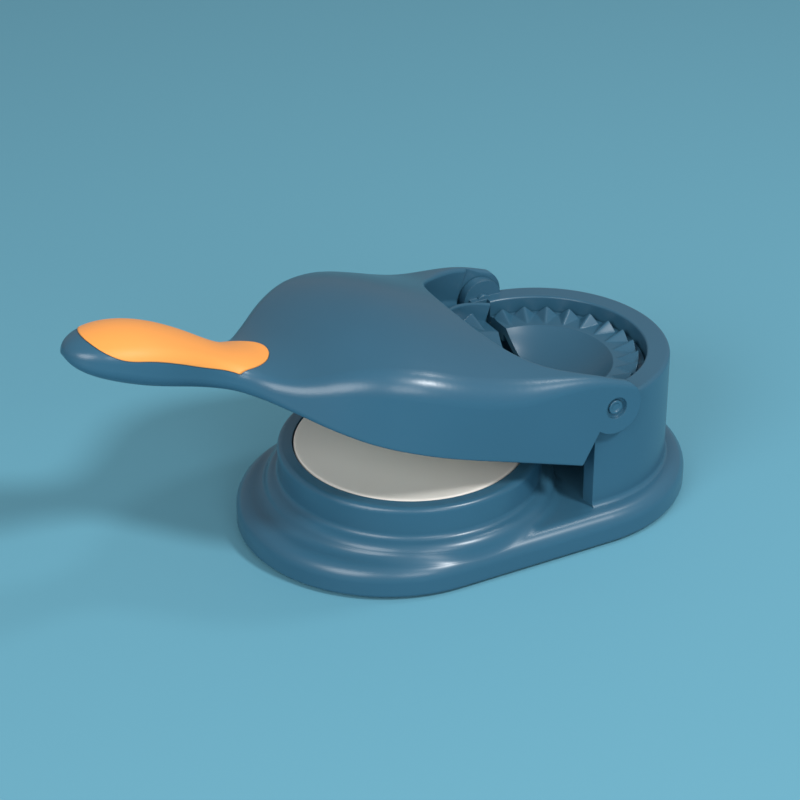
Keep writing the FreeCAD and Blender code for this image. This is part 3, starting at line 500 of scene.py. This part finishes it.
def step_cove(sizes):
    """Hollow blend between the step under the plate and the oval foot, over an angle about the plate's axis.

    Each section is a quadratic curve from the step's round to the foot's top. Its middle point lies where the
    tangents of its two ends meet, and its back is sunk in the base. It runs out before the tower."""
    low, high = (np.array(corner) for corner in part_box("base_shell"))
    reach = (high[1] - low[1]) / 2
    half_spacing = high[0] - reach
    angle = np.linspace(sizes.cove_start, FULL_TURN - sizes.cove_start, COVE_ROWS)[:, None]
    run_in = np.clip((math.pi - abs(angle - math.pi) - sizes.cove_start) / sizes.cove_run_out, 0, 1)
    fade = run_in ** 2 * (3 - 2 * run_in)

    def spine_distance(radius):
        x, y = PLATE_AXIS[0] + radius * np.cos(angle), radius * np.sin(angle)
        return np.hypot(np.maximum(abs(x) - half_spacing, 0), y)

    def foot_height(radius):
        over = np.clip(spine_distance(radius) - reach + sizes.foot_round, 0, sizes.foot_round)
        return sizes.foot_top - sizes.foot_round + np.sqrt(sizes.foot_round ** 2 - over ** 2)

    margin = reach - spine_distance(sizes.step_radius)
    corner_height = foot_height(sizes.step_radius)
    start_height = corner_height + COVE_CLEARANCE + sizes.cove_rise * fade
    lift = np.maximum(start_height - sizes.step_round_high, 0) / sizes.step_round
    start = sizes.step_radius - sizes.step_round * (1 - np.sqrt(1 - lift ** 2))
    end = sizes.step_radius + COVE_CLEARANCE + np.minimum(sizes.cove_reach, 0.5 * margin) * fade
    end_height = foot_height(end)
    slope = (foot_height(end + SLOPE_STEP) - foot_height(end - SLOPE_STEP)) / (2 * SLOPE_STEP)
    down = np.sqrt(1 - lift ** 2)
    way = (start_height - end_height - slope * (start - end)) / (down + slope * lift)
    middle, middle_height = start + way * lift, start_height - way * down
    t = np.linspace(0, 1, COVE_POINTS)[None, :]
    curve = [(1 - t) ** 2 * a + 2 * t * (1 - t) * b + t ** 2 * c
             for a, b, c in ((start, middle, end), (start_height, middle_height, end_height))]
    tail, sink = sizes.cove_tail, sizes.cove_sink
    up_sink = tail ** 2 / (2 * sizes.step_round) + COVE_DIP
    out_sink = tail ** 2 / (2 * sizes.foot_round) + COVE_DIP
    level = np.hypot(1, slope)
    first = start - tail * lift - up_sink * down
    first_height = start_height + tail * down - up_sink * lift
    last = end + (tail + out_sink * slope) / level
    last_height = end_height + (tail * slope - out_sink) / level
    back_height = corner_height - sink
    radius = np.concatenate([first, curve[0], last, last, first - sink, first - sink, first], 1)
    height = np.concatenate([first_height, curve[1], last_height, last_height - sink, back_height,
                             first_height, first_height], 1)
    rows, columns = radius.shape
    points = np.stack([radius * np.cos(angle), radius * np.sin(angle), height], -1).reshape(-1, 3)
    step = np.arange(1, columns - 2)
    cap = np.stack([0 * step, step, step + 1, step + 1], -1)
    faces = np.concatenate([grid_faces(rows, columns), cap, cap + (rows - 1) * columns])
    return points + PLATE_AXIS * (1, 1, 0), faces


def screw(sizes, seat, grip):
    """Screw on an upright axis with its head below: a turned profile whose face is sunk within a cross."""
    head, shank, height = sizes.screw_head, sizes.screw_shank, sizes.screw_head_height
    face = np.linspace(0, FACE_RADIUS * head, FACE_POINTS)
    crown = seat - height * (1 - CROWN_HEIGHT * (face / head) ** 2)
    end = seat + grip
    corners = [(face[-1], crown[-1]), (SHOULDER_RADIUS * head, seat - SHOULDER_HEIGHT * height),
               (head, seat), (shank, seat),
               (shank, end + POINT_START * sizes.screw_bite), (0, end + sizes.screw_bite)]
    body = round_corners(corners, SCREW_ROUND)
    points, faces = turned(np.concatenate([np.stack([face, crown], -1), body[1:]]), (0, 0, 0), SCREW_ROWS)
    x, y, z = points.T
    arm = np.clip((CROSS_HALF_WIDTH - np.minimum(abs(x), abs(y))) / CROSS_WALL, 0, 1)
    within = np.clip((CROSS_RADIUS * head - np.hypot(x, y)) / CROSS_END_WALL, 0, 1)
    in_head = z < seat - height / 2
    return np.stack([x, y, z + CROSS_DEPTH * height * arm * within * in_head], -1), faces


# Operators

class PRESS_OT_moulded_shells(bpy.types.Operator):
    """Give the base, the lever, the cover under the handle, the grip and the press disc their finishes"""
    bl_idname = "press.moulded_shells"
    bl_label = "Moulded shells"

    def execute(self, context):
        slots = {row["node"]: row["material_slot"] for row in frame["record"]["subparts"]}
        for node in ("base_shell", "lever_shell", "handle_cover", "grip_inlay", "press_disc"):
            frame["nodes"][node].material_slots[0].material = finish_for(slots[node])
        return {"FINISHED"}


class PRESS_OT_half_moulds(bpy.types.Operator):
    """Make the two toothed half moulds that fold and crimp"""
    bl_idname = "press.half_moulds"
    bl_label = "Half moulds"

    def execute(self, context):
        sizes = context.scene.press_sizes
        points, faces = half_mould(sizes, -sizes.base_tooth_drop, False)
        upright = points + PIVOT
        add_piece("base_half_mould_teeth", [(upright, faces)], "base", "blue_plastic", ["base_half_mould"])
        points, faces = half_mould(sizes, sizes.lip_top - sizes.tooth_below_lip, True)
        folded = swing(points * (-1, -1, 1))
        add_piece("lever_half_mould_teeth", [(folded, faces)], "lever", "blue_plastic", ["lever_half_mould"])
        return {"FINISHED"}


class PRESS_OT_step_cove(bpy.types.Operator):
    """Make the hollow blend that leads the step under the plate into the oval foot"""
    bl_idname = "press.step_cove"
    bl_label = "Step cove"

    def execute(self, context):
        add_piece("step_cove", [step_cove(context.scene.press_sizes)], "base", "blue_plastic", [])
        return {"FINISHED"}


class PRESS_OT_dough_plate(bpy.types.Operator):
    """Make the round plate with its soft edge and faint rim"""
    bl_idname = "press.dough_plate"
    bl_label = "Dough plate"

    def execute(self, context):
        low, high = PLATE_LOW[2], PLATE_HIGH[2]
        reach = (PLATE_HIGH[0] - PLATE_LOW[0]) / 2
        edge = round_corners([(0, low), (reach, low), (reach, high), (0, high)], PLATE_ROUND, steps=9)
        within = reach - PLATE_RIM
        dish = np.array([(within, high - PLATE_DISH / 8),
                         (within - PLATE_RIM_SLOPE, high - 7 * PLATE_DISH / 8),
                         (0, high - PLATE_DISH)])
        plate = turned(np.concatenate([edge[:-1], dish]), (*PLATE_AXIS[:2], 0), PLATE_ROWS)
        add_piece("dough_plate_rimmed", [plate], "base", "white_plastic", ["dough_plate"])
        return {"FINISHED"}


class PRESS_OT_screws(bpy.types.Operator):
    """Make the cross-head screws that hold the plate, the moulds and the cover"""
    bl_idname = "press.screws"
    bl_label = "Screws"

    def execute(self, context):
        sizes = context.scene.press_sizes
        plate = PLATE_AXIS + on_circle(sizes.plate_screw_circle, PLATE_SCREW_ANGLES)
        mould = on_circle(sizes.mould_screw_circle, MOULD_SCREW_ANGLES)
        cover = np.array([(-sizes.cover_screw_near, 0, 0), (-sizes.cover_screw_far, 0, 0)])
        rim_low = sizes.lip_top - sizes.tooth_below_lip - sizes.tooth_height - sizes.rim_thickness
        base_rim_low = PIVOT[2] - sizes.base_tooth_drop - sizes.tooth_height - sizes.rim_thickness
        base_seat = base_rim_low - sizes.ledge
        plate_seat = PLATE_LOW[2] - sizes.ring_floor
        self.add("dough_plate_screws", "base", plate * (1, 1, 0), plate_seat, sizes.ring_floor)
        self.add("base_mould_screws", "base", (mould + PIVOT) * (1, 1, 0), base_seat, sizes.ledge)
        self.add("lever_mould_screws", "lever", -mould, rim_low - sizes.ledge, sizes.ledge)
        self.add("handle_cover_screws", "lever", cover, sizes.cover_screw_seat, sizes.cover_screw_grip)
        return {"FINISHED"}

    def add(self, node, body, places, seat, grip):
        points, faces = screw(bpy.context.scene.press_sizes, seat, grip)
        put = swing if body == "lever" else np.asarray
        add_piece(node + "_cross", [(put(points + place), faces) for place in places], body, "steel", [node])


class PRESS_OT_hinge_pins(bpy.types.Operator):
    """Make the two hinge pins with their soft edge and dished end"""
    bl_idname = "press.hinge_pins"
    bl_label = "Hinge pins"

    def execute(self, context):
        for node in ("front_hinge_pin", "rear_hinge_pin"):
            low, high = (np.array(corner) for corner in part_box(node))
            reach = (high[0] - low[0]) / 2
            inner, outer = sorted((abs(low[1]), abs(high[1])))
            floor = outer - DISH_DEPTH
            corners = [(0, inner), (reach, inner), (reach, outer),
                       (DISH_BRIM * reach, outer), (DISH_FLOOR * reach, floor), (0, floor)]
            points, faces = turned(round_corners(corners, PIN_ROUND), (0, 0, 0), PIN_ROWS)
            side = math.copysign(1, low[1])
            along = np.stack([points[:, 0], side * points[:, 2], points[:, 1]], -1)
            middle = (low + high) / 2 * (1, 0, 1)
            add_piece(node + "_dished", [(along + middle, faces)], "base", "blue_plastic", [node])
        return {"FINISHED"}


class PRESS_OT_rubber_feet(bpy.types.Operator):
    """Make the rubber feet with grip rings underneath"""
    bl_idname = "press.rubber_feet"
    bl_label = "Rubber feet"

    def execute(self, context):
        depth = context.scene.press_sizes.foot_groove
        for node in sorted(name for name in frame["nodes"] if name.startswith("rubber_foot")):
            low, high = (np.array(corner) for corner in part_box(node))
            reach = (high[0] - low[0]) / 2
            radius = np.linspace(0, TREAD_RADIUS * reach, TREAD_POINTS)
            wave = np.cos(TREAD_RINGS * FULL_TURN * radius / radius[-1])
            tread = low[2] + depth * (1 - wave) / 2
            corners = [(radius[-1], low[2]), (reach, low[2] + RUBBER_CHAMFER), (reach, high[2]), (0, high[2])]
            edge = round_corners(corners, RUBBER_ROUND)
            profile = np.concatenate([np.stack([radius, tread], -1)[:-1], edge])
            middle = (low + high) / 2 * (1, 1, 0)
            add_piece(node + "_ringed", [turned(profile, middle, RUBBER_ROWS)], "base", "rubber", [node])
        return {"FINISHED"}


class PRESS_OT_stage(bpy.types.Operator):
    """Make the floor, the lamps, the even surround and the camera"""
    bl_idname = "press.stage"
    bl_label = "Stage"

    def execute(self, context):
        scene = context.scene
        stage, colours = scene.press_stage, scene.press_colours
        scene.view_settings.view_transform = "Standard"
        floor_mesh = bpy.data.meshes.new("floor")
        corners = FLOOR_REACH * np.array([(-1, -1, 0), (1, -1, 0), (1, 1, 0), (-1, 1, 0)])
        floor_mesh.from_pydata(corners.tolist(), [], [(0, 1, 2, 3)])
        floor = bpy.data.objects.new("floor", floor_mesh)
        scene.collection.objects.link(floor)
        finish = Finish("floor", {"IOR": 1.45, "Roughness": 0.55, "Specular IOR Level": 0.2})
        finish.shader.inputs["Base Color"].default_value = shade(colours.floor, 1.0)
        floor_mesh.materials.append(finish.material)
        self.lamp("key_lamp", stage.key, direction=(0.285, -0.610, 0.739), distance=2.2, size=0.36)
        self.lamp("front_lamp", stage.front, direction=(-0.142, -0.895, 0.423), distance=1.2, size=0.5)
        self.lamp("side_lamp", stage.side, direction=(0.492, -0.087, 0.866), distance=1.0, size=0.16)
        self.lamp("fill_lamp", stage.fill, direction=(-0.75, -0.43, 0.5), distance=1.6, size=0.9)
        world = bpy.data.worlds.new("surround")
        world.use_nodes = True
        back = world.node_tree.nodes["Background"]
        back.inputs["Color"].default_value = SURROUND_COLOUR
        back.inputs["Strength"].default_value = stage.surround
        scene.world = world
        camera_data = bpy.data.cameras.new("camera")
        camera_data.lens, camera_data.sensor_width = stage.lens, SENSOR_WIDTH
        camera_data.clip_start, camera_data.clip_end = CLIP_START, CLIP_END
        camera = bpy.data.objects.new("camera", camera_data)
        camera.location = CAMERA_PLACE
        camera.rotation_euler = (CAMERA_AIM - CAMERA_PLACE).to_track_quat("-Z", "Y").to_euler()
        scene.collection.objects.link(camera)
        scene.camera = camera
        return {"FINISHED"}

    def lamp(self, name, strength, direction, distance, size):
        """Round soft lamp that is aimed at the middle of the press."""
        direction = Vector(direction).normalized()
        lamp = bpy.data.lights.new(name, "AREA")
        lamp.shape, lamp.size, lamp.energy = "DISK", size, strength
        obj = bpy.data.objects.new(name, lamp)
        obj.location = LAMP_AIM + direction * distance
        obj.rotation_euler = (-direction).to_track_quat("-Z", "Y").to_euler()
        bpy.context.scene.collection.objects.link(obj)


class PRESS_PT_panel(bpy.types.Panel):
    """Lists the press's sizes, colours and pieces"""
    bl_idname = "PRESS_PT_panel"
    bl_label = "Ravioli press"
    bl_space_type = "VIEW_3D"
    bl_region_type = "UI"
    bl_category = "Press"

    def draw(self, context):
        layout = self.layout
        for group in (context.scene.press_sizes, context.scene.press_colours, context.scene.press_stage):
            for name in group.__annotations__:
                layout.prop(group, name)
        for operator in OPERATORS:
            layout.operator(operator.bl_idname)


GROUPS = {"press_sizes": PressSizes, "press_colours": PressColours, "press_stage": PressStage}
OPERATORS = (PRESS_OT_moulded_shells, PRESS_OT_step_cove, PRESS_OT_half_moulds, PRESS_OT_dough_plate,
             PRESS_OT_screws, PRESS_OT_hinge_pins, PRESS_OT_rubber_feet, PRESS_OT_stage)


def register():
    for cls in (*GROUPS.values(), *OPERATORS, PRESS_PT_panel):
        bpy.utils.register_class(cls)
    for name, cls in GROUPS.items():
        setattr(bpy.types.Scene, name, PointerProperty(type=cls))


def unregister():
    for name in GROUPS:
        delattr(bpy.types.Scene, name)
    for cls in (PRESS_PT_panel, *reversed(OPERATORS), *reversed(GROUPS.values())):
        bpy.utils.unregister_class(cls)


def main():
    register()
    for operator in OPERATORS:
        area, name = operator.bl_idname.split(".")
        getattr(getattr(bpy.ops, area), name)()


if __name__ == "__main__":
    main()
